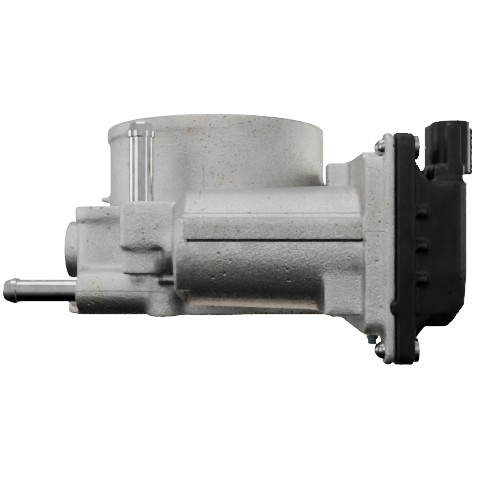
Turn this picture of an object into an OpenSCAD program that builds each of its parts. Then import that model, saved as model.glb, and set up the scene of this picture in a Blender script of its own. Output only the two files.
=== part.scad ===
// Electronic throttle body for a petrol engine: die-cast housing, plate on a shaft, DC motor,
// two-stage gear train, return spring, plastic gear cover with connector, coolant nipples.
// Origin: centre of the bore on the manifold face. +Z up the bore, +X along the shaft to the cover.

/* [Bore and flange] */
// Radius of the throttle bore
bore_r = 40; // [38:0.5:41]
// Height of the body along the bore
body_h = 70; // [66:0.5:74]
// Outer radius of the air-hose spigot
spigot_r = 43.5; // [43.4:0.1:43.7]
// Thickness of the manifold flange
flange_t = 9; // [8:0.5:11]
// Half the bolt spacing along the shaft
bolt_x = 40.5; // [40:0.5:41]
// Half the bolt spacing across the shaft
bolt_y = 34.5; // [34:0.25:35]
// Radius of the holes for the mounting bolts
bolt_hole_r = 3.3; // [3.1:0.1:3.4]

/* [Throttle] */
// Height of the shaft axis above the manifold face
shaft_z = 22; // [21.5:0.25:22.5]
// Radius of the throttle shaft
shaft_r = 5; // [4.8:0.1:5]
// Radius of the throttle plate
plate_r = 39.85; // [37:0.05:39.9]
// Thickness of the throttle plate
plate_t = 2; // [1.6:0.1:2.4]
// Tilt of the plate at its limp-home rest, in degrees
rest_tilt = 7; // [6:0.5:9]

/* [Motor] */
// Distance of the motor axis in front of the bore axis
motor_y = 57; // [57:0.1:57.2]
// Height of the motor axis above the manifold face
motor_z = 23.4; // [23:0.1:23.6]
// Radius of the motor can
can_r = 14.5; // [13.5:0.1:14.6]

/* [Gears] */
// Teeth of the motor pinion and of the idler's small gear
pinion_teeth = 12; // [12:1:12]
// Teeth of the idler's large gear
wheel_teeth = 56; // [56:1:56]
// Teeth of the sector gear if it were a full circle
sector_teeth = 49; // [49:1:49]
// Module of the motor stage
module_1 = 0.8; // [0.8:0.1:0.8]
// Module of the shaft stage
module_2 = 1.0; // [1:0.1:1]
// Shift of the tooth profiles, out on the pinions and in on the wheels
shift = 0.35; // [0.3:0.05:0.4]
// Backlash taken off each gear's teeth, at the pitch circle
backlash = 0.05; // [0.03:0.01:0.08]

/* [Gear case and cover] */
// Left face of the gear case
case_x = 46.6; // [46:0.1:47]
// Wall of the gear case
case_wall = 2.4; // [2.2:0.1:2.6]
// Left face of the case flange
lip_x = 52.5; // [52:0.1:53]
// Joint face between the case and the cover
face_x = 55.7; // [55.5:0.1:55.9]
// Outer face of the cover's flange
cover_x = 61.2; // [61:0.1:61.5]
// Outer face of the cover's dome
dome_x = 78.2; // [77.8:0.1:78.4]

/* [Coolant] */
// Outer radius of the coolant nipples
nipple_r = 4; // [3.9:0.05:4.1]
// Radius of the coolant passages
coolant_r = 3; // [2.5:0.1:3]

/* [Hidden] */
$fn = 96;
eps = 0.01;
pressure_angle = 20;

gap = 0.05; // running clearance of pins and shafts, on the radius

// Gear centres, as points in the plane across the shaft: [along Y, along Z].
shaft_at = [0, shaft_z];
motor_at = [-motor_y, motor_z];
pinion_pr = module_1 * pinion_teeth / 2;
wheel_pr = module_1 * wheel_teeth / 2;
small_pr = module_2 * pinion_teeth / 2;
sector_pr = module_2 * sector_teeth / 2;
stage_1 = pinion_pr + wheel_pr;
stage_2 = small_pr + sector_pr;
span = norm(motor_at - shaft_at);
along = (stage_2 ^ 2 - stage_1 ^ 2 + span ^ 2) / (2 * span);
above = sqrt(stage_2 ^ 2 - along ^ 2);
to_motor = (motor_at - shaft_at) / span;
idler_at = shaft_at + along * to_motor + above * [to_motor[1], -to_motor[0]];
to_idler_deg = atan2(idler_at[1] - shaft_at[1], idler_at[0] - shaft_at[0]);
to_pinion_deg = atan2(motor_at[1] - idler_at[1], motor_at[0] - idler_at[0]);

// Stations along the shaft.
boss_x = -59.8;
bearing_x0 = 44.5;
bearing_x1 = 50.5;
wheel_x0 = 57.2;
wheel_x1 = 61;
sector_x0 = 61.6;
sector_x1 = 67.2;
idler_pin_x0 = 47.6;
idler_pin_x1 = 74;
dome_in_x = dome_x - 2.2;
motor_x0 = -2;
motor_x1 = case_x + case_wall + 0.3;

case_floor_x = case_x + case_wall;
cover_floor_x = cover_x - 2.2;

// The spigot stands a little off the bore's axis, and its hose bead fades out on the cover's side.
spigot_offset = 0.6;
bead_z = 64.8;
bead_r = 44;
bead_offset = 0.05;

// Radii shared by parts that fit together.
hub_r = 13.2; // hub of the ball bearing's seat
seal_seat_r = 7.5; // needle bearing and shaft seals
bearing_seat_r = 11; // ball bearing
idler_pin_r = 3;
motor_shaft_r = 1.5;
motor_bush_r = 3.4;
rivet_r = 1.7;

// Coolant nipples and the drillings behind them.
top_nipple = [-22.1, -58];
top_nipple_z = 38.2;
side_nipple = [-42.5, 8.3];
side_nipple_x = -45.8;
foot_plug_r = 3;
cross_z = 21;
breather_at = [50.4, -70];
breather_r = 1.4;
foot_at = [-15.9, -47];

// Screws and rivets, as points across the shaft.
motor_screw_r = 19.5;
motor_screws_at = [for (a = [62, 242])
    motor_at + motor_screw_r * [cos(a), sin(a)]];
front_rivet_y = -75.7;
back_rivet_r = 31.4;
rivets_at = concat([for (z = [53.4, -6.9]) [front_rivet_y, z]],
    [for (a = [45, -45]) shaft_at + back_rivet_r * [cos(a), sin(a)]]);

// ---- Helpers ----

// Extrudes a shape drawn as [Y, Z] along the shaft, from x0 to x1.
module along_x(x0, x1) {
    translate([x0, 0, 0]) rotate([90, 0, 90]) linear_extrude(x1 - x0) children();
}

// A rod along X, centred at the point [Y, Z].
module rod_x(at, r, x0, x1) {
    along_x(x0, x1) translate(at) circle(r);
}

module rod_z(at, r, z0, z1) {
    translate([at[0], at[1], z0]) cylinder(r = r, h = z1 - z0);
}

// A block between two opposite corners.
module block(low, high) {
    translate(low) cube(high - low);
}

// A rounded rectangle between two opposite corners.
module round_rect(low, high, r) {
    size = high - low;
    translate(low + [r, 0]) square([size[0] - 2 * r, size[1]]);
    translate(low + [0, r]) square([size[0], size[1] - 2 * r]);
    for (x = [low[0] + r, high[0] - r], y = [low[1] + r, high[1] - r])
        translate([x, y]) circle(r);
}

// A straight rod from one point to another.
module strut(from, to, r) {
    way = to - from;
    translate(from) rotate([0, acos(way[2] / norm(way)), atan2(way[1], way[0])])
        cylinder(r = r, h = norm(way));
}

// A ring sector drawn about the origin, with its middle at the angle mid.
module arc_2d(r0, r1, mid, width) {
    reach = 2 * r1;
    intersection() {
        difference() {
            circle(r1);
            circle(r0);
        }
        polygon([[0, 0], for (k = [-2:2]) reach * [cos(mid + k * width / 4), sin(mid + k * width / 4)]]);
    }
}

// ---- Involute gears ----

function involute_deg(a) = tan(a) * 180 / PI - a;

// Half the angle that a tooth fills at the radius rho.
function half_tooth(m, z, x, rho) =
    (90 + 2 * x * tan(pressure_angle) * 180 / PI) / z - backlash / (m * z) * 180 / PI
    + involute_deg(pressure_angle)
    - involute_deg(acos(min(1, m * z / 2 * cos(pressure_angle) / rho)));

function tip_radius(m, z, x) = m * (z / 2 + 1 + x) - 0.05 * m;
function root_radius(m, z, x) = m * (z / 2 - 1.25 + x);

// One tooth's outline about the angle mid, counter-clockwise.
function tooth(m, z, x, mid, steps = 4) =
    let (
        tip = tip_radius(m, z, x),
        root = root_radius(m, z, x),
        foot = max(root, m * z / 2 * cos(pressure_angle)),
        flank = [for (k = [0:steps]) foot + (tip - foot) * k / steps],
        side = concat([[root, half_tooth(m, z, x, foot)]],
            [for (rho = flank) [rho, half_tooth(m, z, x, rho)]]),
        last = len(side) - 1,
        both = concat([for (p = side) [p[0], mid - p[1]]],
            [for (k = [last:-1:0]) [side[k][0], mid + side[k][1]]])
    ) [for (k = [0:len(both) - 1])
        if (k == 0 || norm(both[k] - both[k - 1]) > 1e-6)
            both[k][0] * [cos(both[k][1]), sin(both[k][1])]];

// A full gear with a tooth at the angle phase.
module gear_2d(m, z, x, phase) {
    polygon([for (k = [0:z - 1]) each tooth(m, z, x, phase + k * 360 / z)]);
}

// ---- Outlines across the shaft ----

// Inside of the gear case, grown by g.
module case_outline(g) {
    intersection() {
        union() {
            round_rect([-76.3 - g, -0.4 - g], [-14 + g, 50.4 + g], 5);
            translate([-40, -0.4 - g]) square([40, 46.6 + 2 * g]);
            translate(shaft_at) circle(25.6 + g);
        }
        translate([-100, -3.4 - g]) square([200, 100]);
    }
}

// The flange with its rivet ears, shrunk by s.
module flange_outline(s) {
    case_outline(case_wall + 1.2 - s);
    round_rect([-80.1 + s, -11.4 + s], [-71.3 - s, 57.9 - s], 4 - s);
    for (at = [rivets_at[2], rivets_at[3]]) translate(at) circle(4.5 - s);
}

// ---- The housing ----

module spigot() {
    draft_z = 46; // the wall tapers up to here
    translate([spigot_offset, 0, 0]) {
        cylinder(r1 = spigot_r + 0.6, r2 = spigot_r, h = draft_z);
        translate([0, 0, draft_z]) cylinder(r = spigot_r, h = body_h - draft_z);
    }
    translate([bead_offset, 0, bead_z]) cylinder(r = bead_r, h = body_h - 0.6 - bead_z);
}

module manifold_flange() {
    corner = [bolt_x + 11, bolt_y + 11];
    linear_extrude(flange_t) {
        round_rect(-corner, corner, 11);
        circle(48);
    }
}

// Tall pillars that carry the bolt heads, each with a web to the spigot.
module bolt_pillars() {
    ledge_z0 = 33.1;
    ledge_z1 = 37.9;
    web = [24, 20]; // inner corner of each web
    web_y = bolt_y + 7.4;
    for (sx = [0, 1], sy = [0, 1]) mirror([sx, 0, 0]) mirror([0, sy, 0]) {
        rod_z([bolt_x, bolt_y], 8, 0, ledge_z0);
        rod_z([bolt_x, bolt_y], 8.8, ledge_z0, ledge_z1);
        block([web[0], web[1], 0], [bolt_x, web_y, ledge_z0]);
        block([web[0], web[1], ledge_z0 - eps], [bolt_x, web_y + 0.8, ledge_z1]);
    }
}

// The block under the top nipple, the boss of the side nipple and the foot between them.
module coolant_bosses() {
    translate([0, 0, 23.5]) linear_extrude(top_nipple_z - 23.5)
        round_rect([-28.7, -64.5], [-10.4, -30], 3.5);
    translate([0, 0, 14.9]) linear_extrude(9)
        round_rect([-28, -63.6], [-15.7, -30], 3.5);
    block([-17, -58, 12], [-6, -30, 36]);
    rod_x(side_nipple, 7.7, side_nipple_x, foot_at[0]);
    rod_z(foot_at, 6, 0, 15.6);
}

land_z0 = 26.2;

// The barrel round the motor, with its flat land, end band, lower pad and upper lug.
module motor_barrel() {
    translate([-10.6, motor_at[0], motor_at[1]]) rotate([0, 90, 0]) {
        cylinder(r1 = 15.4, r2 = 18.6, h = 3.6);
        translate([0, 0, 3.6]) cylinder(r1 = 18.6, r2 = 20.4, h = case_x + 7.2);
    }
    // Stepped boss round the motor's rear bush.
    rod_x(motor_at, 6.9, -14.6, -13.6);
    rod_x(motor_at, 8.3, -13.7, -10);
    translate([0, 0, land_z0]) linear_extrude(6.2)
        polygon([[-9.6, -45], [-9.6, -75.6], [case_x, -77.9], [case_x, -45]]);
    intersection() {
        rod_x(motor_at, 19.6, -9.6, -6);
        block([-20, -90, 10.5], [0, -40, 30]);
    }
    block([35, -75.8, 3.1], [case_x + 1, -50, 17.4]);
    block([39.6, -49, 34], [case_x + 1, -39.2, 52.2]);
    block([-8, -62, 12], [case_x + 1, -36, 36]);
}

module shaft_bosses() {
    rod_x(shaft_at, 11.8, boss_x, -38);
    rod_x(shaft_at, hub_r, 38, 51);
    block([-43, -8, 9], [-38, 8, 33]);
    block([-46.6, -4.5, 41], [-40, 4.5, 43.4]);
}

module gear_case() {
    along_x(case_x, lip_x + eps) case_outline(case_wall);
    along_x(lip_x, lip_x + 2.2) flange_outline(0);
    along_x(lip_x + 2.2 - eps, face_x) flange_outline(1.1);
}

module housing_hollows() {
    translate([0, 0, -1]) cylinder(r = bore_r, h = body_h + 2);
    translate([0, 0, body_h - 1]) cylinder(r1 = bore_r, r2 = bore_r + 1.2, h = 1 + eps);
    difference() {
        along_x(case_floor_x, face_x + 1) case_outline(0);
        rod_x(shaft_at, hub_r, case_floor_x - 1, 51);
        rod_x(idler_at, 6, case_floor_x - 1, 52);
        for (at = motor_screws_at) rod_x(at, 4, case_floor_x - 1, case_floor_x + 0.3);
        rod_x(spring_post, 1.5, case_floor_x - 1, 53.6);
    }
    rod_x(motor_at, can_r + 0.4, -5, case_floor_x + 1);
    rod_x(shaft_at, 9.5, boss_x - 1, -57.8);
    rod_x(shaft_at, seal_seat_r, -58, -43.5);
    rod_x(shaft_at, shaft_r + gap, -44, 60);
    rod_x(shaft_at, seal_seat_r, 41, 43.6);
    rod_x(shaft_at, bearing_seat_r, bearing_x0, 52);
    rod_x(idler_at, idler_pin_r, idler_pin_x0, 53);
    for (at = motor_screws_at) rod_x(at, 2, 38, 53);
    for (at = rivets_at) rod_x(at, rivet_r + gap, lip_x - 1, face_x + 1);
    for (sx = [-1, 1], sy = [-1, 1]) rod_z([sx * bolt_x, sy * bolt_y], bolt_hole_r, -1, 60);
    seal_grooves();
    coolant_passages();
    // Room round the rivets' formed heads.
    for (at = rivets_at) rod_x(at, 3.2, lip_x - 6, lip_x);
    rod_z(breather_at, breather_r, -8, 1);
    // Room under the side nipple for its hose.
    rod_x(side_nipple, 5.2, -60, side_nipple_x);
    // Undercut below the barrel's flat land.
    translate([0, 0, land_z0 - 0.8]) linear_extrude(0.8)
        polygon([[-6, -82], [-6, -74.2], [case_x, -75.6], [case_x, -82]]);
    // The manifold face stops just short of the gear case, which reaches below it.
    difference() {
        block([case_x - 0.4, -60, -1], [lip_x, 22, 0.4]);
        along_x(case_x - 1, lip_x + 1) case_outline(case_wall + 0.001);
        block([case_x + 5.2, -60, -2], [lip_x + 1, 22, 1]);
    }
    // Slot at the front of the joint, for prying the cover off.
    along_x(lip_x + 1.4, face_x + 1) round_rect([-83, 3.7], [-78.2, 8.1], 0.9);
}

module seal_grooves() {
    translate([0, 0, -1]) difference() {
        cylinder(r = 45.6, h = 3.2);
        translate([0, 0, -1]) cylinder(r = 42.6, h = 6);
    }
    along_x(face_x - 1.2, face_x + 1) difference() {
        case_outline(1.9);
        case_outline(0.8);
    }
}

module coolant_passages() {
    rod_z(top_nipple, nipple_r, top_nipple_z - 9, top_nipple_z + 1);
    rod_z(top_nipple, coolant_r, cross_z - 3.4, top_nipple_z);
    strut([top_nipple[0], top_nipple[1], cross_z], [foot_at[0], foot_at[1], cross_z], 2.4);
    rod_z(foot_at, foot_plug_r, -1, 3);
    rod_z(foot_at, 2.6, 2, cross_z + 0.6);
    rod_x(side_nipple, nipple_r, side_nipple_x - 1, side_nipple_x + 9);
    rod_x(side_nipple, coolant_r, side_nipple_x, foot_at[0]);
}

module throttle_housing() {
    color("lightgray") difference() {
        union() {
            spigot();
            manifold_flange();
            bolt_pillars();
            coolant_bosses();
            motor_barrel();
            shaft_bosses();
            gear_case();
        }
        housing_hollows();
    }
}

module flange_seal() {
    color("black") difference() {
        translate([0, 0, 0.1]) cylinder(r = 45.4, h = 2.1);
        translate([0, 0, -1]) cylinder(r = 42.8, h = 5);
    }
}

// ---- Throttle shaft and plate ----

// Puts a shape that is drawn flat at the shaft axis at the plate's rest tilt.
module at_rest_tilt() {
    translate([0, 0, shaft_z]) rotate([rest_tilt, 0, 0]) children();
}

plate_screw_x = 18;

module throttle_plate() {
    color("darkgoldenrod") at_rest_tilt() difference() {
        translate([0, 0, -plate_t / 2]) cylinder(r = plate_r, h = plate_t);
        for (x = [-plate_screw_x, plate_screw_x])
            translate([x, 0, -5]) cylinder(r = 2.05, h = 10);
    }
}

module throttle_shaft() {
    color("silver") difference() {
        rod_x(shaft_at, shaft_r, -56.4, sector_x1);
        at_rest_tilt() {
            block([-plate_r - 0.1, -9, -plate_t / 2], [plate_r + 0.1, 9, plate_t / 2]);
            for (x = [-plate_screw_x, plate_screw_x]) {
                translate([x, 0, -9]) cylinder(r = 2.05, h = 18);
                translate([x, 0, 3.1]) cylinder(r = 3.8, h = 5);
            }
        }
    }
}

module plate_screws() {
    color("gray") at_rest_tilt() for (x = [-plate_screw_x, plate_screw_x])
        translate([x, 0, 0]) difference() {
            union() {
                translate([0, 0, -5.6]) cylinder(r = 2, h = 9);
                translate([0, 0, 3.1]) cylinder(r = 3.6, h = 1.8);
            }
            block([-2.2, -0.5, 3.9], [2.2, 0.5, 6]);
            block([-0.5, -2.2, 3.9], [0.5, 2.2, 6]);
        }
}

// ---- Shaft bearings and seals ----

module needle_bearing() {
    color("silver") difference() {
        rod_x(shaft_at, seal_seat_r, -56, -47);
        rod_x(shaft_at, 6.9, -55.2, -47.8);
        rod_x(shaft_at, shaft_r + 0.3, -57, -46);
    }
}

module needle_rollers() {
    count = 16;
    color("lightsteelblue") for (k = [0:count - 1])
        rod_x(shaft_at + 5.97 * [cos(k * 360 / count), sin(k * 360 / count)], 0.9, -54.8, -48.2);
}

module shaft_seals() {
    color("dimgray") for (x = [-46.4, 41.2]) difference() {
        rod_x(shaft_at, seal_seat_r, x, x + 2.2);
        rod_x(shaft_at, shaft_r + 0.03, x - 1, x + 4);
    }
}

module shaft_end_cap() {
    color("silver") difference() {
        rod_x(shaft_at, 9.5, boss_x + 0.3, -57.8);
        rod_x(shaft_at, 7.4, boss_x, boss_x + 1.1);
    }
}

ball_r = 1.9;
ball_pitch_r = 8;

// A ring about the shaft axis, drawn as [radius, distance along the shaft].
module turned_x(x0) {
    translate([x0, 0, shaft_z]) rotate([0, 90, 0]) rotate_extrude() children();
}

module race_2d(r0, r1) {
    width = bearing_x1 - bearing_x0;
    difference() {
        translate([r0, 0]) square([r1 - r0, width]);
        translate([ball_pitch_r, width / 2]) circle(ball_r + gap);
    }
}

module bearing_outer_ring() {
    color("silver") turned_x(bearing_x0) race_2d(9.1, bearing_seat_r);
}

module bearing_inner_ring() {
    color("silver") turned_x(bearing_x0) race_2d(shaft_r, 6.9);
}

module ball_ring(r) {
    count = 9;
    for (k = [0:count - 1]) {
        a = k * 360 / count;
        translate([(bearing_x0 + bearing_x1) / 2, ball_pitch_r * cos(a), shaft_z + ball_pitch_r * sin(a)])
            sphere(r, $fn = 32);
    }
}

module bearing_balls() {
    color("lightsteelblue") ball_ring(ball_r);
}

module bearing_cage() {
    mid = (bearing_x0 + bearing_x1) / 2;
    color("peru") difference() {
        rod_x(shaft_at, 8.7, mid - 0.9, mid + 0.9);
        rod_x(shaft_at, 7.3, mid - 2, mid + 2);
        ball_ring(ball_r + gap);
    }
}

// ---- Return spring ----

spring_r = 15.2;
wire_r = 0.8;
spring_turns = 2.5;
spring_x0 = 50.3;
spring_pitch = 1.7;
fixed_leg = 8;
spring_leg = 4;
spring_start = 200; // angle of the fixed end
spring_post = [-17.6, 26.9]; // where the fixed end rests

// Centre of the wire: a coil with a straight leg at each end.
function spring_point(deg, run) =
    let (a = spring_start + deg)
    [spring_x0 + spring_pitch * deg / 360,
        spring_r * cos(a) - run * sin(a),
        shaft_z + spring_r * sin(a) + run * cos(a)];

function wire_ring(deg, run, sides = 8) =
    let (a = spring_start + deg, at = spring_point(deg, run))
    [for (k = [0:sides - 1])
        let (b = k * 360 / sides)
        at + wire_r * [sin(b), cos(b) * cos(a), cos(b) * sin(a)]];

module swept(rings) {
    n = len(rings[0]);
    last = len(rings) - 1;
    polyhedron(
        points = [for (ring = rings) each ring],
        faces = concat(
            [[for (k = [0:n - 1]) k]],
            [for (j = [0:last - 1], k = [0:n - 1])
                let (next = (k + 1) % n)
                [j * n + k, (j + 1) * n + k, (j + 1) * n + next, j * n + next]],
            [[for (k = [n - 1:-1:0]) last * n + k]]));
}

module return_spring() {
    turn = 360 * spring_turns;
    color("dimgray") swept(concat(
        [wire_ring(0, -fixed_leg)],
        [for (deg = [0:18:turn]) wire_ring(deg, 0)],
        [wire_ring(turn, spring_leg)]));
}

// Arm on the shaft that winds the spring.
module spring_lever() {
    arm_deg = spring_start + 360 * spring_turns;
    color("slategray") difference() {
        union() {
            along_x(55.4, 56.6) translate(shaft_at) {
                circle(9);
                arc_2d(8, 19, arm_deg + 12, 34);
            }
            along_x(54.1, 55.5) translate(shaft_at) arc_2d(13.2, 18.6, arm_deg + 23, 8);
            rod_x(shaft_at, 7, bearing_x1, 55.5);
        }
        rod_x(shaft_at, shaft_r, 40, 60);
    }
}

// ---- Gear train ----

module sector_gear() {
    pitch_deg = 360 / sector_teeth;
    color("wheat") difference() {
        union() {
            along_x(sector_x0, sector_x1) translate(shaft_at) {
                polygon([[0, 0], for (k = [-12:1])
                    each tooth(module_2, sector_teeth, -shift, to_idler_deg + k * pitch_deg)]);
                circle(10);
            }
        }
        rod_x(shaft_at, shaft_r, 50, 80);
        // Weight-saving windows behind the teeth.
        for (k = [0:2])
            along_x(sector_x0 - 1, sector_x1 + 1) translate(shaft_at)
                arc_2d(12.5, 20, to_idler_deg + (-1.6 - 3.9 * k) * pitch_deg, 20);
    }
}

module position_magnet() {
    color("darkslategray") difference() {
        rod_x(shaft_at, 8.2, sector_x1, 71);
        rod_x(shaft_at, 3, 60, 80);
    }
}

module idler_gear() {
    color("ivory") difference() {
        union() {
            along_x(wheel_x0, wheel_x1) translate(idler_at)
                gear_2d(module_1, wheel_teeth, -shift, to_pinion_deg);
            along_x(wheel_x1 - eps, 67.8) translate(idler_at)
                gear_2d(module_2, pinion_teeth, shift, to_idler_deg + 180 + 180 / pinion_teeth);
            rod_x(idler_at, 5.5, 52.3, wheel_x0 + eps);
        }
        rod_x(idler_at, idler_pin_r + gap, 50, 70);
    }
}

module idler_pin() {
    color("silver") rod_x(idler_at, idler_pin_r, idler_pin_x0, idler_pin_x1);
}

module motor_pinion() {
    color("goldenrod") difference() {
        along_x(56.6, 61.6) translate(motor_at)
            gear_2d(module_1, pinion_teeth, shift, to_pinion_deg + 180 + 180 / pinion_teeth);
        rod_x(motor_at, motor_shaft_r, 50, 70);
    }
}

// ---- Motor ----

module motor_shaft() {
    color("silver") rod_x(motor_at, motor_shaft_r, -3.6, 61.8);
}

slots = 5;
slot_r = 6.9; // distance of the slots from the motor's axis
core_x = [10, 35];

module motor_armature() {
    color("slategray") along_x(core_x[0], core_x[1]) translate(motor_at) difference() {
        circle(10.2);
        circle(motor_shaft_r);
        for (k = [0:slots - 1]) rotate(k * 360 / slots) {
            translate([slot_r, 0]) circle(2.1);
            translate([slot_r, -0.6]) square([4, 1.2]);
        }
    }
}

module motor_windings() {
    color("chocolate") {
        for (k = [0:slots - 1])
            rod_x(motor_at + slot_r * [cos(k * 360 / slots), sin(k * 360 / slots)], 2,
                core_x[0], core_x[1]);
        for (x = [core_x[0] - 3, core_x[1]]) difference() {
            rod_x(motor_at, 9, x, x + 3);
            rod_x(motor_at, 3.4, x - 1, x + 4);
        }
    }
}

module commutator() {
    color("peru") difference() {
        rod_x(motor_at, 4.2, 39.2, 46);
        rod_x(motor_at, motor_shaft_r, 38, 47);
        for (k = [0:slots - 1]) along_x(40, 47) translate(motor_at)
            rotate(k * 360 / slots) translate([3.4, -0.2]) square([2, 0.4]);
    }
}

module motor_can() {
    color("gainsboro") difference() {
        union() {
            rod_x(motor_at, can_r, motor_x0, motor_x1 - 0.8);
            rod_x(motor_at, 4.4, -4.6, motor_x0 + eps);
        }
        rod_x(motor_at, can_r - 1.2, motor_x0 + 1.2, motor_x1);
        rod_x(motor_at, motor_bush_r, -4, motor_x0 + 2);
    }
}

module motor_magnets() {
    color("dimgray") for (mid = [90, 270])
        along_x(8, 37) translate(motor_at) arc_2d(10.7, can_r - 1.2, mid, 120);
}

module motor_bushes() {
    color("peru") for (x = [[-4, -1], [48.2, 52.4]]) difference() {
        rod_x(motor_at, motor_bush_r, x[0], x[1]);
        rod_x(motor_at, motor_shaft_r + gap, x[0] - 1, x[1] + 1);
    }
}

brush_x = [41.4, 45.4];

module brush_holder() {
    color("saddlebrown") difference() {
        rod_x(motor_at, can_r - 1.3, 40.4, 46.6);
        rod_x(motor_at, 5, 40, 47);
        brush_blocks(0.05, 0);
    }
}

// Brushes on both sides of the commutator, in front and behind.
module brush_blocks(grow, tip) {
    for (side = [-1, 1]) along_x(brush_x[0] - grow, brush_x[1] + grow)
        translate(motor_at + [side * 8.5, 0])
            square([7 + 2 * grow - tip, 4 + 2 * grow], center = true);
}

module brushes() {
    color("black") difference() {
        brush_blocks(0, 0);
        rod_x(motor_at, 4.2 + gap, 40, 47);
    }
}

module motor_end_plate() {
    x0 = motor_x1 - 0.8;
    color("silver") difference() {
        union() {
            rod_x(motor_at, can_r, x0, 51.3);
            along_x(motor_x1, 51.3) for (at = motor_screws_at) {
                translate(at) circle(4);
                translate((at + motor_at) / 2) rotate(62) square([14, 8], center = true);
            }
        }
        rod_x(motor_at, motor_bush_r, x0 - 1, 53);
        for (at = motor_screws_at) rod_x(at, 2.1, 40, 60);
        rod_x(motor_at, 8, x0 - 1, x0 + 1.2);
    }
}

module motor_screws() {
    color("silver") for (at = motor_screws_at) difference() {
        union() {
            rod_x(at, 1.95, 39, 52);
            rod_x(at, 3.5, 51.3, 53.6);
        }
        along_x(52.6, 54) translate(at) {
            square([4.4, 0.9], center = true);
            square([0.9, 4.4], center = true);
        }
    }
}

terminals_at = [for (dz = [-3.4, 7]) motor_at + [-10.6, dz]];

module motor_terminals() {
    color("gold") for (at = terminals_at) along_x(51.3, 67)
        translate(at) square([0.8, 4], center = true);
}

module terminal_sockets() {
    color("goldenrod") for (at = terminals_at) difference() {
        along_x(62, dome_in_x) translate(at) square([2.6, 5.6], center = true);
        along_x(61, 70) translate(at) square([1, 4.2], center = true);
    }
}

// ---- Gear cover ----

shroud = [[68.3, -75.2], [80.1, -58.2]]; // connector outline as [X, Y] corners
shroud_z = [46, 62];
pin_floor_z = 50;
neck_z = 48.2;
dome_y = -77.6;
dome_z = [-0.3, 43.4];
dome_back_r = 27.4;
hollow_z = [4, 39.5];
wheel_room = 23.9; // radius of the room for the idler's large wheel

// Silhouette of the dome seen along the bore's front, as [X, Z].
dome_side = [[59, -0.3], [71.9, -0.3], [74, 1.6], [77.4, 6.4], [dome_x, 16.3], [dome_x, 43.4], [59, 43.4]];
dome_front = [[59, 4], [71.1, 4], [74.4, 16.4], [74.4, 43.4], [59, 43.4]];

module upright(y0, y1) {
    translate([0, y1, 0]) rotate([90, 0, 0]) linear_extrude(y1 - y0) children();
}

// Front of the dome, bevelled all round its front face.
module dome_nose() {
    hull() {
        upright(dome_y, dome_y + 0.02) polygon(dome_front);
        upright(dome_y + 3, -58) polygon(dome_side);
    }
}

module dome_back() {
    along_x(cover_x - 1, dome_x) {
        translate([-60, dome_z[0]]) square([60, dome_z[1] - dome_z[0]]);
        translate(shaft_at) circle(dome_back_r);
    }
}

// Bulge over the idler's large wheel.
module wheel_bulge(g) {
    rod_x(idler_at, wheel_room + g, face_x + 0.5, wheel_x1 + 0.5 + g);
}

// Stiffening ribs between the flange and the dome.
module cover_ribs() {
    rib_t = 1.4;
    for (y = [-77.4, -69.6]) {
        upright(y, y + rib_t) polygon([[cover_x - 1, 40], [cover_x - 1, 49.4], [67.2, 42.4], [70, 40]]);
        upright(y, y + rib_t) polygon([[cover_x - 1, 6], [70, 6], [67.1, 3.6], [cover_x - 1, -2.9]]);
    }
    upright(-69.6, -69.6 + rib_t) polygon([[cover_x - 1, 40], [cover_x - 1, 57], [66, 47], [70, 40]]);
    upright(-69.6, -69.6 + rib_t) polygon([[cover_x - 1, 6], [70, 6], [67.6, 0], [cover_x - 1, -9.6]]);
    for (z = [34, 24.1, 14.3]) block([cover_x - 1, dome_y - 1.6, z - 1], [64.9, dome_y + 1, z + 1]);
}

module connector_shell() {
    translate([0, 0, shroud_z[0]]) linear_extrude(shroud_z[1] - shroud_z[0])
        round_rect(shroud[0], shroud[1], 5.2);
    block([67.6, -76, 40], [76.6, -56, neck_z]);
    // Raised panel on the shell's front.
    block([71.5, shroud[0][1] - 0.8, neck_z], [75.4, shroud[0][1] + 1, 60.3]);
    // Latch post with the foot that joins it to the shell.
    block([80.8, -68.6, 47.2], [81.9, -66.6, 60.8]);
    block([74, -68.6, 46], [81.9, -66.6, 48]);
}

module connector_cavity() {
    translate([0, 0, pin_floor_z]) linear_extrude(20)
        round_rect(shroud[0] + [1.5, 1.5], shroud[1] - [1.5, 1.5], 3.7);
}

module gear_cover() {
    color([0.12, 0.12, 0.13]) difference() {
        union() {
            along_x(face_x, cover_x) flange_outline(0);
            along_x(lip_x + 1.7, face_x + eps) round_rect([-80, 4], [-78.5, 7.8], 0.6);
            dome_nose();
            dome_back();
            wheel_bulge(2.1);
            cover_ribs();
            connector_shell();
        }
        along_x(face_x - eps, cover_floor_x) case_outline(0);
        wheel_bulge(0);
        intersection() {
            along_x(face_x, dome_in_x) translate([-73, hollow_z[0]])
                square([20, hollow_z[1] - hollow_z[0]]);
            dome_hollow_limit();
        }
        along_x(face_x, dome_in_x) {
            translate([-57.6, hollow_z[0]]) square([57.6, hollow_z[1] - hollow_z[0]]);
            translate(shaft_at) circle(dome_back_r - 1.8);
        }
        along_x(50, idler_pin_x1 + 0.8) translate(idler_at) circle(idler_pin_r + gap);
        connector_cavity();
        for (at = rivets_at) rod_x(at, rivet_r + gap, face_x - 1, cover_x + 1);
        pin_blocks();
    }
    color([0.12, 0.12, 0.13]) difference() {
        rod_x(idler_at, 5.5, 68.6, dome_in_x + eps);
        rod_x(idler_at, idler_pin_r + gap, 60, idler_pin_x1 + 0.8);
    }
}

// Keeps the hollow clear of the bevel at the dome's lower corner.
module dome_hollow_limit() {
    upright(-100, 60) polygon([
        [50, -10], [68, -10], [69.5, 4], [72.4, 7], [dome_in_x, 17], [dome_in_x, 60], [50, 60]]);
}

module pin_blocks() {
    for (x = [72.2, 75.9], y = [-71.1, -66.7, -62.3])
        block([x - 0.4, y - 0.7, 46], [x + 0.4, y + 0.7, 58.5]);
}

module connector_pins() {
    color("gold") pin_blocks();
}

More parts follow.
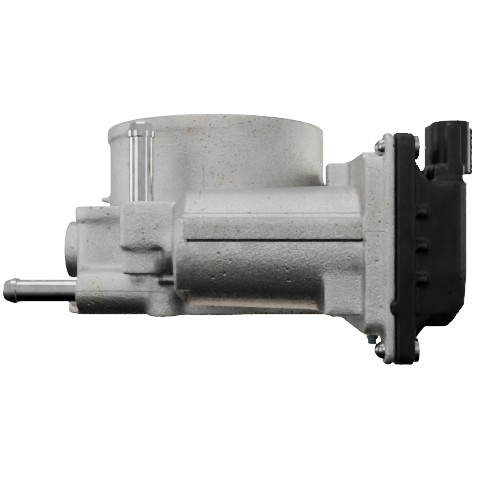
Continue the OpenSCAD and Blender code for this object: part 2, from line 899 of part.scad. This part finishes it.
module cover_seal() {
    color("black") along_x(face_x - 1.1, face_x) difference() {
        case_outline(1.8);
        case_outline(0.9);
    }
}

module cover_rivets() {
    color("silver") for (at = rivets_at) {
        rod_x(at, rivet_r, lip_x - eps, cover_x + eps);
        rod_x(at, 3.7, cover_x, cover_x + 1.5);
        intersection() {
            translate([lip_x, at[0], at[1]]) sphere(2.7, $fn = 48);
            rod_x(at, 4, lip_x - 4, lip_x);
        }
    }
}

module sensor_board() {
    color("darkgreen") block([dome_in_x - 1.2, -18, 10], [dome_in_x, 12, 34]);
}

module sensor_chip() {
    color("black") block([72.4, -3, shaft_z - 3], [dome_in_x - 1.2, 3, shaft_z + 3]);
}

// ---- Coolant parts and small plugs ----

buried = 8; // length of each nipple inside the housing
nipple_bead_r = 4.55;

// A steel tube with a hose bead, drawn as [radius, distance from its buried end].
module nipple_tube(free_len) {
    length = buried + free_len;
    rotate_extrude() polygon([
        [coolant_r, 0], [nipple_r, 0], [nipple_r, length - 4.9], [nipple_bead_r, length - 4.5],
        [nipple_bead_r, length - 2.9], [3.75, length - 0.5], [3.4, length], [coolant_r, length]]);
}

module coolant_pipe_top() {
    color("silver") translate([top_nipple[0], top_nipple[1], top_nipple_z - buried]) nipple_tube(25.5);
}

module coolant_pipe_side() {
    color("silver") translate([side_nipple_x + buried, side_nipple[0], side_nipple[1]])
        rotate([0, -90, 0]) nipple_tube(25.8);
}

module coolant_plug() {
    color("silver") difference() {
        rod_z(foot_at, foot_plug_r, 0.4, 2.9);
        rod_z(foot_at, 2.2, 0, 1.6);
    }
}

module case_breather() {
    color("darkslategray") difference() {
        union() {
            rod_z(breather_at, breather_r, -6, -0.6);
            rod_z(breather_at, 1.9, -4.4, -2.9);
        }
        rod_z(breather_at, 0.6, -7, -1.4);
    }
}

throttle_housing();
flange_seal();
throttle_plate();
throttle_shaft();
plate_screws();
needle_bearing();
needle_rollers();
shaft_seals();
shaft_end_cap();
bearing_outer_ring();
bearing_inner_ring();
bearing_balls();
bearing_cage();
spring_lever();
return_spring();
sector_gear();
position_magnet();
idler_gear();
idler_pin();
motor_pinion();
motor_shaft();
motor_armature();
motor_windings();
commutator();
motor_can();
motor_magnets();
motor_bushes();
brush_holder();
brushes();
motor_end_plate();
motor_screws();
motor_terminals();
terminal_sockets();
gear_cover();
cover_seal();
cover_rivets();
connector_pins();
sensor_board();
sensor_chip();
coolant_pipe_top();
coolant_pipe_side();
coolant_plug();
case_breather();
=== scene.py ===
"""Looks of an electronic throttle body: die-cast housing, steel nipples and rivets, black plastic cover."""

import math

import bmesh
import bpy
import numpy as np
import openvdb
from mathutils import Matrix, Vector


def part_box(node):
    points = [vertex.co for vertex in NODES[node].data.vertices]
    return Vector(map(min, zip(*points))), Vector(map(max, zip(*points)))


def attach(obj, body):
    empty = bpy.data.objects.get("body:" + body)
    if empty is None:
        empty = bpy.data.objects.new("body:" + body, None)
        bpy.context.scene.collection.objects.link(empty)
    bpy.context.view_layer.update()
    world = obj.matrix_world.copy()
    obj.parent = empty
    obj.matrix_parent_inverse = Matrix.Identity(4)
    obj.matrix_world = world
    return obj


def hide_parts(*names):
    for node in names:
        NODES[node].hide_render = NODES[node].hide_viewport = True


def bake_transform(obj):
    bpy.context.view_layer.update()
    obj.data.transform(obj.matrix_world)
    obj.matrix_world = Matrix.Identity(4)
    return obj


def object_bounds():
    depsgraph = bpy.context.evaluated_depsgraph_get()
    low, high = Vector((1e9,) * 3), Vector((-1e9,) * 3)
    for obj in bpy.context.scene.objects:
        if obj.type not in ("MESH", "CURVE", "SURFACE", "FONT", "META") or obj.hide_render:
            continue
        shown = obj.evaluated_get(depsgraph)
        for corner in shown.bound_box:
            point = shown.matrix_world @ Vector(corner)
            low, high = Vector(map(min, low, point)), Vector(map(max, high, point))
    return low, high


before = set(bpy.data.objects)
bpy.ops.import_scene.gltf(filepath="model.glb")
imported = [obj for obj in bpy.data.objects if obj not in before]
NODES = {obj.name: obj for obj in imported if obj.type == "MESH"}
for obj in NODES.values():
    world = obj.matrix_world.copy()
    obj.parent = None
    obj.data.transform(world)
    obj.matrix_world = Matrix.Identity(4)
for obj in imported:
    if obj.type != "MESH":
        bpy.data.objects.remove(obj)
CAD_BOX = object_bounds()
MM = 0.001

# Axes that run along the shaft, as (Y, Z) in millimetres.
SHAFT_AXIS = (0.0, 22.0)
MOTOR_AXIS = (-57.0, 23.4)

FLOOR_DROP = 0.03  # gap in metres between the part and the floor
FLOOR_SUN = 130  # strong enough to print the floor as white
BACKGROUND = 40  # the same, for what the camera sees past the floor
LIT_POINT = (0.01, -0.02, 0.03)  # where the area lights aim, in metres


# ---- Camera, light and floor ----

def aim(obj, target):
    way = Vector(target) - obj.location
    obj.rotation_euler = way.to_track_quat("-Z", "Y").to_euler()


def make_camera():
    """A level 50 mm view from the motor's side, a little to the right of the bore."""
    data = bpy.data.cameras.new("camera")
    data.lens = 50
    data.sensor_width = 36
    data.clip_start = 0.01
    camera = bpy.data.objects.new("camera", data)
    camera.location = (9.9 * MM, -274.4 * MM, 25.9 * MM)
    camera.rotation_euler = (math.pi / 2, 0, 0)
    bpy.context.collection.objects.link(camera)
    bpy.context.scene.camera = camera


def area_light(name, place, size, power, color=(1, 1, 1), height=None):
    data = bpy.data.lights.new(name, "AREA")
    data.energy = power
    data.color = color
    data.shape = "RECTANGLE"
    data.size = size
    data.size_y = height or size
    lamp = bpy.data.objects.new(name, data)
    lamp.location = place
    bpy.context.collection.objects.link(lamp)
    aim(lamp, LIT_POINT)


def make_lights():
    # Places and sizes in metres, powers in watts.
    area_light("top", (-0.1, -0.12, 0.75), 0.5, 4)
    area_light("front_high", (0.05, -0.85, 0.42), 0.35, 2.2)
    area_light("front_left", (-0.5, -0.6, 0.2), 0.3, 1.6, height=0.45)
    area_light("front_right", (0.6, -0.5, 0.2), 0.12, 0.6, height=0.45)
    area_light("left", (-0.75, 0.1, 0.1), 0.25, 1.8)
    area_light("right", (0.7, 0.35, 0.1), 0.25, 1.8, (1, 0.93, 0.83))
    area_light("low_behind", (0.05, 0.55, -0.4), 0.3, 0.5, (1, 0.9, 0.75))


def make_world():
    """White to the camera; a soft tent above and dark below in reflections."""
    world = bpy.data.worlds.new("world")
    world.use_nodes = True
    nodes, links = world.node_tree.nodes, world.node_tree.links
    place = nodes.new("ShaderNodeTexCoord")
    parts = nodes.new("ShaderNodeSeparateXYZ")
    links.new(place.outputs["Generated"], parts.inputs["Vector"])
    height = nodes.new("ShaderNodeMapRange")
    height.inputs["From Min"].default_value = -1
    links.new(parts.outputs["Z"], height.inputs["Value"])
    tent = nodes.new("ShaderNodeValToRGB")
    tent.color_ramp.elements[0].color = (0, 0, 0, 1)
    tent.color_ramp.elements[1].color = (0.55, 0.55, 0.55, 1)
    for spot, grey in ((0.12, 0.003), (0.26, 0.05), (0.40, 0.2), (0.5, 0.45), (0.7, 0.55)):
        tent.color_ramp.elements.new(spot).color = (grey, grey, grey, 1)
    links.new(height.outputs["Result"], tent.inputs["Fac"])
    soft = nodes["Background"]
    soft.inputs["Strength"].default_value = 1
    links.new(tent.outputs["Color"], soft.inputs["Color"])
    white = nodes.new("ShaderNodeBackground")
    white.inputs["Color"].default_value = (1, 1, 1, 1)
    white.inputs["Strength"].default_value = BACKGROUND
    path = nodes.new("ShaderNodeLightPath")
    mix = nodes.new("ShaderNodeMixShader")
    links.new(path.outputs["Is Camera Ray"], mix.inputs["Fac"])
    links.new(soft.outputs["Background"], mix.inputs[1])
    links.new(white.outputs["Background"], mix.inputs[2])
    links.new(mix.outputs["Shader"], nodes["World Output"].inputs["Surface"])
    bpy.context.scene.world = world


def make_floor():
    """A pale floor just below the part, lit evenly by a sun of its own."""
    mesh = bpy.data.meshes.new("floor")
    bm = bmesh.new()
    bmesh.ops.create_grid(bm, x_segments=1, y_segments=1, size=3)
    bm.to_mesh(mesh)
    bm.free()
    floor = bpy.data.objects.new("floor", mesh)
    bpy.context.collection.objects.link(floor)
    floor.location.z = CAD_BOX[0][2] - FLOOR_DROP
    paper = bpy.data.materials.new("floor_paper")
    paper.use_nodes = True
    shader = paper.node_tree.nodes["Principled BSDF"]
    shader.inputs["Base Color"].default_value = (0.96, 0.96, 0.96, 1)
    shader.inputs["Roughness"].default_value = 0.95
    mesh.materials.append(paper)
    floor.visible_glossy = False
    floor.visible_diffuse = False
    only_floor = bpy.data.collections.new("only_floor")
    only_floor.objects.link(floor)
    sun = bpy.data.lights.new("floor_sun", "SUN")
    sun.energy = FLOOR_SUN
    lamp = bpy.data.objects.new("floor_sun", sun)
    bpy.context.collection.objects.link(lamp)
    lamp.light_linking.receiver_collection = only_floor
    lamp.light_linking.blocker_collection = only_floor


# ---- Node helpers ----

class Graph:
    """A material's node tree, with short calls for the nodes used here. Lengths are in millimetres."""

    def __init__(self, name):
        self.material = bpy.data.materials.new(name)
        self.material.use_nodes = True
        self.nodes = self.material.node_tree.nodes
        self.links = self.material.node_tree.links
        self.shader = self.nodes["Principled BSDF"]
        self.place = self.node("ShaderNodeTexCoord").outputs["Object"]

    def node(self, kind, inputs=None, **settings):
        made = self.nodes.new(kind)
        for key, value in settings.items():
            setattr(made, key, value)
        for key, value in (inputs or {}).items():
            self.put(value, made.inputs[key])
        return made

    def put(self, value, socket):
        if isinstance(value, bpy.types.NodeSocket):
            self.links.new(value, socket)
        else:
            socket.default_value = value

    def noise(self, per_mm, detail=3, roughness=0.55, stretch=None):
        """Smooth noise; stretch scales X, Y and Z, so a small number draws it out along that axis."""
        vector = self.place
        if stretch:
            made = self.node("ShaderNodeVectorMath", operation="MULTIPLY")
            self.put(vector, made.inputs[0])
            self.put(stretch, made.inputs[1])
            vector = made.outputs["Vector"]
        inputs = {"Vector": vector, "Scale": per_mm * 1000, "Detail": detail, "Roughness": roughness}
        return self.node("ShaderNodeTexNoise", inputs).outputs["Fac"]

    def specks(self, per_mm, radius, patch_per_mm, low, high):
        """Small round spots, in patches; radius is a share of the spacing."""
        inputs = {"Vector": self.place, "Scale": per_mm * 1000, "Randomness": 1.0}
        away = self.node("ShaderNodeTexVoronoi", inputs).outputs["Distance"]
        spot = self.math("SUBTRACT", 1.0, self.ramp(away, 0.5 * radius, radius))
        return self.math("MULTIPLY", spot, self.ramp(self.noise(patch_per_mm, 2), low, high))

    def ramp(self, value, low, high):
        """0 below low, 1 above high, smooth between."""
        inputs = {"Value": value, "From Min": low, "From Max": high}
        return self.node("ShaderNodeMapRange", inputs, interpolation_type="SMOOTHSTEP").outputs["Result"]

    def math(self, operation, a, b=0.0):
        made = self.node("ShaderNodeMath", operation=operation)
        self.put(a, made.inputs[0])
        self.put(b, made.inputs[1])
        return made.outputs["Value"]

    def times(self, *values):
        total = values[0]
        for value in values[1:]:
            total = self.math("MULTIPLY", total, value)
        return total

    def mix(self, factor, a, b):
        made = self.node("ShaderNodeMix", data_type="RGBA")
        self.put(factor, made.inputs[0])
        for value, socket in ((a, made.inputs[6]), (b, made.inputs[7])):
            self.put((*value, 1) if isinstance(value, tuple) else value, socket)
        return made.outputs[2]

    def bump(self, height, distance, strength=1.0):
        inputs = {"Height": height, "Distance": distance * MM, "Strength": strength}
        return self.node("ShaderNodeBump", inputs).outputs["Normal"]

    def axes(self):
        parts = self.node("ShaderNodeSeparateXYZ", {"Vector": self.place}).outputs
        return parts["X"], parts["Y"], parts["Z"]

    def between(self, value, low, high, soft=0.1):
        """1 where value lies from low to high, fading out over soft."""
        return self.times(self.ramp(value, (low - soft) * MM, low * MM),
                          self.math("SUBTRACT", 1.0, self.ramp(value, high * MM, (high + soft) * MM)))

    def done(self, color, rough, metal=0.0, normal=None, specular=0.5):
        inputs = self.shader.inputs
        self.put(color, inputs["Base Color"])
        self.put(rough, inputs["Roughness"])
        inputs["Metallic"].default_value = metal
        inputs["Specular IOR Level"].default_value = specular
        if normal:
            self.put(normal, inputs["Normal"])
        return self.material


# ---- Materials ----

def cast_aluminium():
    """Die-cast skin with grain, pits, specks, stains and seams; machined smooth inside the bore."""
    dark_grain = (0.24, 0.24, 0.235)
    oil_stain = (0.49, 0.42, 0.33)
    pit = (0.12, 0.12, 0.12)
    # Dark grey for the dirt in the seams and for the painted shade in hollow corners.
    dirt_and_painted_shade = (0.16, 0.155, 0.15)
    rubbed = (0.80, 0.79, 0.77)
    shadow = (0.01, 0.01, 0.01)
    g = Graph("cast_aluminium")
    x, y, z = g.axes()
    coarse = g.noise(0.8, 3, 0.6)
    grain = g.noise(1.9, 3, 0.65)
    tone = g.mix(g.ramp(g.noise(0.05, 3), 0.38, 0.62), (0.52, 0.51, 0.495), (0.63, 0.61, 0.585))
    tone = g.mix(g.times(g.ramp(grain, 0.45, 0.65), 0.42), tone, dark_grain)
    stain = g.times(g.ramp(g.noise(0.06, 4, 0.65), 0.52, 0.66), 0.5)
    tone = g.mix(stain, tone, oil_stain)

    small = g.specks(0.6, 0.26, 0.06, 0.52, 0.58)
    large = g.specks(0.25, 0.17, 0.045, 0.50, 0.56)
    spot = g.math("MAXIMUM", small, large)
    tone = g.mix(g.times(spot, 0.6), tone, pit)

    # Seams that the die's parts leave: down the spigot, round the bosses and along the gear case.
    front = g.between(y, -100, -30)
    seams = [g.times(g.between(x, -2.75, -2.55), g.between(z, 40, 52), front),
             g.times(g.between(z, 8.5, 8.7), g.between(x, -60, -15), front),
             g.times(g.between(z, 28.3, 28.5), g.between(x, 46.6, 52), front),
             g.times(g.between(z, 33.9, 34.1), g.between(x, -10, 46), g.between(y, -78, -72))]
    seam = seams[0]
    for other in seams[1:]:
        seam = g.math("MAXIMUM", seam, other)
    tone = g.mix(g.times(seam, 0.6), tone, dirt_and_painted_shade)
    # Painted shadow: a near-black band along the step under the land.
    undercut = g.times(g.between(z, 25.4, 26.1, 0.15), g.between(x, -6, 46), g.between(y, -90, -73))
    tone = g.mix(g.times(undercut, 0.93), tone, shadow)
    land = g.times(g.between(z, 26.3, 32.3, 0.3), g.between(x, -7, 46), g.between(y, -80, -74, 0.5))

    # Bright rubbed edges, and painted shade that darkens the hollow corners.
    curve = g.node("ShaderNodeNewGeometry").outputs["Pointiness"]
    tone = g.mix(g.times(g.ramp(curve, 0.53, 0.62), 0.45), tone, rubbed)
    tone = g.mix(g.times(g.math("SUBTRACT", 1.0, g.ramp(curve, 0.40, 0.47)), 0.6), tone, dirt_and_painted_shade)

    across = g.math("SQRT", g.math("ADD", g.times(x, x), g.times(y, y)))
    machined = g.math("SUBTRACT", 1.0, g.ramp(across, 40.6 * MM, 41.4 * MM))
    rings = g.noise(3.0, 2, stretch=(0.02, 0.02, 1.0))
    tone = g.mix(machined, tone, g.mix(rings, (0.58, 0.58, 0.57), (0.70, 0.70, 0.69)))

    height = g.math("ADD", g.times(coarse, 0.25), g.times(grain, 0.7))
    height = g.math("SUBTRACT", height, g.times(spot, 0.5))
    height = g.math("SUBTRACT", height, g.times(seam, 0.5))
    height = g.math("ADD", height, g.times(land, g.noise(1.3, 4, 0.8), 1.6))
    height = g.math("SUBTRACT", height, g.times(undercut, 1.5))
    skin = g.math("SUBTRACT", 1.0, g.times(machined, 0.9))
    rough = g.math("ADD", g.times(skin, 0.16), g.times(g.ramp(grain, 0.3, 0.7), 0.12))
    rough = g.math("ADD", rough, 0.16)
    rough = g.math("ADD", rough, g.times(undercut, 0.4))
    return g.done(tone, rough, 0.95, g.bump(g.times(height, skin), 0.34))


def plastic(name, tint, rough=0.42, depth=0.06, specular=0.35):
    """Moulded plastic: fine spark-eroded texture, cloudy patches and paler rubbed edges."""
    g = Graph(name)
    grain = g.noise(3.0, 3, 0.7)
    paler = tuple(1.9 * c + 0.003 for c in tint)
    tone = g.mix(g.ramp(g.noise(0.09, 3), 0.4, 0.7), tint, paler)
    curve = g.node("ShaderNodeNewGeometry").outputs["Pointiness"]
    tone = g.mix(g.times(g.ramp(curve, 0.52, 0.58), 0.5), tone, tuple(3 * c + 0.03 for c in tint))
    dull = g.math("ADD", rough, g.times(g.ramp(grain, 0.3, 0.7), 0.12))
    return g.done(tone, dull, 0.0, g.bump(grain, depth, 0.7), specular)


def metal(name, tint, rough=0.25, stretch=(1, 1, 1), depth=0.02):
    """Worked metal: stretch draws its tool marks out along an axis."""
    g = Graph(name)
    marks = g.noise(2.5, 3, 0.6, stretch)
    darker = tuple(0.7 * c for c in tint)
    tone = g.mix(g.ramp(g.noise(0.22, 3), 0.4, 0.7), tint, darker)
    tone = g.mix(g.times(g.ramp(marks, 0.4, 0.7), 0.3), tone, darker)
    dull = g.math("ADD", rough, g.times(g.ramp(marks, 0.3, 0.8), 0.08))
    return g.done(tone, dull, 1.0, g.bump(marks, depth, 0.6))


TURNED_X = (1.0, 0.03, 0.03)  # rings round an axis along X
TURNED_Z = (0.03, 0.03, 1.0)


def rubber(name):
    return plastic(name, (0.012, 0.012, 0.012), 0.6, 0.08)


# ---- Cast and moulded shells, softened from their CAD solids ----

BAND = 6  # voxels on each side of the surface


def blurred(field, sigma):
    """A Gaussian blur, one axis at a time; sigma is in voxels."""
    reach = math.ceil(3 * sigma)
    weights = np.exp(-0.5 * (np.arange(-reach, reach + 1) / sigma) ** 2)
    weights /= weights.sum()
    for axis in range(3):
        pads = [(reach, reach) if a == axis else (0, 0) for a in range(3)]
        wide = np.pad(field, pads, mode="edge")
        total = np.zeros_like(field)
        for k, weight in enumerate(weights):
            cut = [slice(None)] * 3
            cut[axis] = slice(k, k + field.shape[axis])
            total += np.float32(weight) * wide[tuple(cut)]
        field = total
    return field


def distance_field(voxel, points, triangles, quads=None):
    """Signed distance on a regular grid near the surface, with the grid's first index."""
    grid = openvdb.FloatGrid.createLevelSetFromPolygons(
        points, triangles=triangles, quads=quads,
        transform=openvdb.createLinearTransform(voxel), halfWidth=BAND)
    low, high = grid.evalActiveVoxelBoundingBox()
    field = np.empty(np.subtract(high, low) + 1, np.float32)
    grid.copyToArray(field, ijk=low)
    return field, low


def surface_of(voxel, field, low, adaptivity):
    grid = openvdb.FloatGrid()
    grid.background = float(field.max())
    grid.transform = openvdb.createLinearTransform(voxel)
    grid.copyFromArray(field, ijk=low, tolerance=0)
    grid.gridClass = "level set"
    return grid.convertToPolygons(0.0, adaptivity)


def mesh_arrays(obj):
    mesh = obj.data
    mesh.calc_loop_triangles()
    points = np.empty(len(mesh.vertices) * 3, np.float32)
    mesh.vertices.foreach_get("co", points)
    triangles = np.empty(len(mesh.loop_triangles) * 3, np.int32)
    mesh.loop_triangles.foreach_get("vertices", triangles)
    return points.reshape(-1, 3), triangles.reshape(-1, 3).astype(np.uint32)


def fade(distance, width):
    """0 inside (distance below 0), 1 beyond width, smooth between."""
    t = np.clip(distance / width, 0, 1)
    return t * t * (3 - 2 * t)


def housing_skin(x, y, z):
    """0 where the machined insides and sharp steps stay as they are, 1 on the cast skin."""
    def tube(axis, radius, x_from, x_to):
        r = np.hypot(y - axis[0], z - axis[1])
        return np.maximum(r - radius, np.maximum(x_from - x, x - x_to))

    def box(low, high):
        sides = [np.maximum(a - v, v - b) for v, a, b in zip((x, y, z), low, high)]
        return np.maximum(np.maximum(sides[0], sides[1]), sides[2])

    inside = np.hypot(x, y) - 41  # the bore
    # The gear case's inside: a box round the gears and a round end about the shaft, open to the cover.
    case = np.maximum(np.maximum(-77.4 - y, y + 13), np.maximum(-1.5 - z, z - 51.5))
    case = np.minimum(case, np.hypot(y - SHAFT_AXIS[0], z - SHAFT_AXIS[1]) - 26.7)
    case = np.maximum(case, 48.0 - x)
    undercut = box((-7, -90, 24.6), (46.4, -72.5, 27))
    bearing_seats = tube(SHAFT_AXIS, 10.2, -70, 60)
    motor_pocket = tube(MOTOR_AXIS, 15.8, -7, 60)
    for part in (case, undercut, bearing_seats, motor_pocket):
        inside = np.minimum(inside, part)
    return fade(inside, 0.8)


def softened(node, voxel_mm, fillet, blur, adaptivity, skin=None):
    """A copy of a CAD solid with filled inside corners and rounded edges.

    fillet is the inside radius in millimetres and blur the width of the rounding in voxels;
    adaptivity merges flat faces. skin gives, for places in millimetres, how much of the
    softening applies there.
    """
    voxel = voxel_mm * MM
    sharp, low = distance_field(voxel, *mesh_arrays(NODES[node]))
    # Swell the solid, find the distance again, and shrink it back.
    swell = np.float32(fillet * MM)
    points, triangles, quads = surface_of(voxel, sharp - swell, low, 0.0)
    swollen, swollen_low = distance_field(voxel, points, triangles, quads)
    cut = tuple(slice(o, o + n) for o, n in zip(np.subtract(low, swollen_low), sharp.shape))
    field = np.minimum(swollen[cut] + swell, sharp)
    field = blurred(np.clip(field, sharp.min(), sharp.max()), blur)
    if skin:
        grid = [(np.arange(n) + first).astype(np.float32) * np.float32(voxel_mm)
                for n, first in zip(sharp.shape, low)]
        share = skin(*np.meshgrid(*grid, indexing="ij", sparse=True)).astype(np.float32)
        field = sharp + share * (field - sharp)
    points, triangles, quads = surface_of(voxel, field, low, adaptivity)
    points = np.clip(points, *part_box(node))
    mesh = bpy.data.meshes.new(node + "_soft")
    faces = [tuple(int(i) for i in face[::-1]) for face in (*quads, *triangles)]
    mesh.from_pydata([tuple(map(float, p)) for p in points], [], faces)
    for polygon in mesh.polygons:
        polygon.use_smooth = True
    piece = bpy.data.objects.new(node + "_soft", mesh)
    bpy.context.collection.objects.link(piece)
    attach(piece, "housing")
    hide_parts(node)
    return piece


def make_housing():
    piece = softened("throttle_housing", voxel_mm=0.5, fillet=0.9, blur=0.8, adaptivity=0.04,
                     skin=housing_skin)
    piece.data.materials.append(cast_aluminium())


def make_cover():
    piece = softened("gear_cover", voxel_mm=0.4, fillet=0.5, blur=0.6, adaptivity=0.05)
    piece.data.materials.append(plastic("cover_plastic", (0.003, 0.003, 0.0035), 0.32, specular=0.22))


# ---- The return spring ----

def make_spring():
    """A copy of the coil in spring steel, kept as modelled; in the real part its left end stays put and its
    right end turns with the lever.
    """
    mesh = NODES["return_spring"].data.copy()
    mesh.materials.clear()
    mesh.materials.append(metal("spring_steel", (0.22, 0.21, 0.20), 0.3))
    piece = bpy.data.objects.new("return_spring_coil", mesh)
    bpy.context.collection.objects.link(piece)
    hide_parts("return_spring")
    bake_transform(piece)


# ---- CAD nodes that keep their shape ----

def dress(material, *nodes):
    for node in nodes:
        for slot in NODES[node].material_slots:
            slot.material = material


def dress_nodes():
    bright_steel = (0.78, 0.77, 0.75)
    dress(metal("pipe_steel_z", bright_steel, 0.10, TURNED_Z, 0.008), "coolant_pipe_top", "coolant_plug")
    dress(metal("pipe_steel_x", bright_steel, 0.10, TURNED_X, 0.008), "coolant_pipe_side")
    dress(metal("rivet_steel", (0.40, 0.39, 0.37), 0.16), "cover_rivets")
    dress(metal("turned_steel", (0.60, 0.59, 0.57), 0.20, TURNED_X, 0.01),
          "throttle_shaft", "idler_pin", "motor_shaft", "shaft_end_cap")
    dress(metal("bearing_steel", (0.66, 0.66, 0.66), 0.12), "needle_bearing", "needle_rollers",
          "bearing_outer_ring", "bearing_inner_ring", "bearing_balls")
    dress(metal("zinc_steel", (0.52, 0.53, 0.55), 0.28), "plate_screws", "motor_screws", "spring_lever",
          "motor_can", "motor_end_plate")
    dress(metal("core_steel", (0.30, 0.30, 0.31), 0.4, (6.0, 0.05, 0.05), 0.05), "motor_armature")
    dress(metal("brass_plate", (0.66, 0.50, 0.25), 0.28, (0.05, 1.0, 1.0)), "throttle_plate")
    dress(metal("brass", (0.70, 0.52, 0.24), 0.25), "motor_pinion", "terminal_sockets", "bearing_cage")
    dress(metal("tinned_brass", (0.68, 0.66, 0.60), 0.22), "motor_terminals", "connector_pins")
    dress(metal("copper", (0.72, 0.36, 0.20), 0.22, TURNED_X), "commutator", "motor_windings")
    dress(metal("sintered_bronze", (0.50, 0.33, 0.18), 0.42, depth=0.05), "motor_bushes")
    dress(plastic("nylon", (0.50, 0.46, 0.36), 0.4), "sector_gear", "idler_gear")
    dress(plastic("ferrite", (0.035, 0.035, 0.04), 0.55), "position_magnet", "motor_magnets")
    dress(plastic("phenolic", (0.12, 0.05, 0.02), 0.45), "brush_holder")
    dress(plastic("carbon", (0.02, 0.02, 0.02), 0.6), "brushes")
    dress(plastic("glass_fibre_board", (0.02, 0.12, 0.05), 0.4), "sensor_board")
    dress(plastic("chip_epoxy", (0.01, 0.01, 0.012), 0.4), "sensor_chip")
    dress(plastic("breather_plastic", (0.03, 0.05, 0.05), 0.25), "case_breather")
    dress(rubber("seal_rubber"), "flange_seal", "shaft_seals", "cover_seal")


make_camera()
make_lights()
make_world()
make_floor()
make_housing()
make_cover()
make_spring()
dress_nodes()
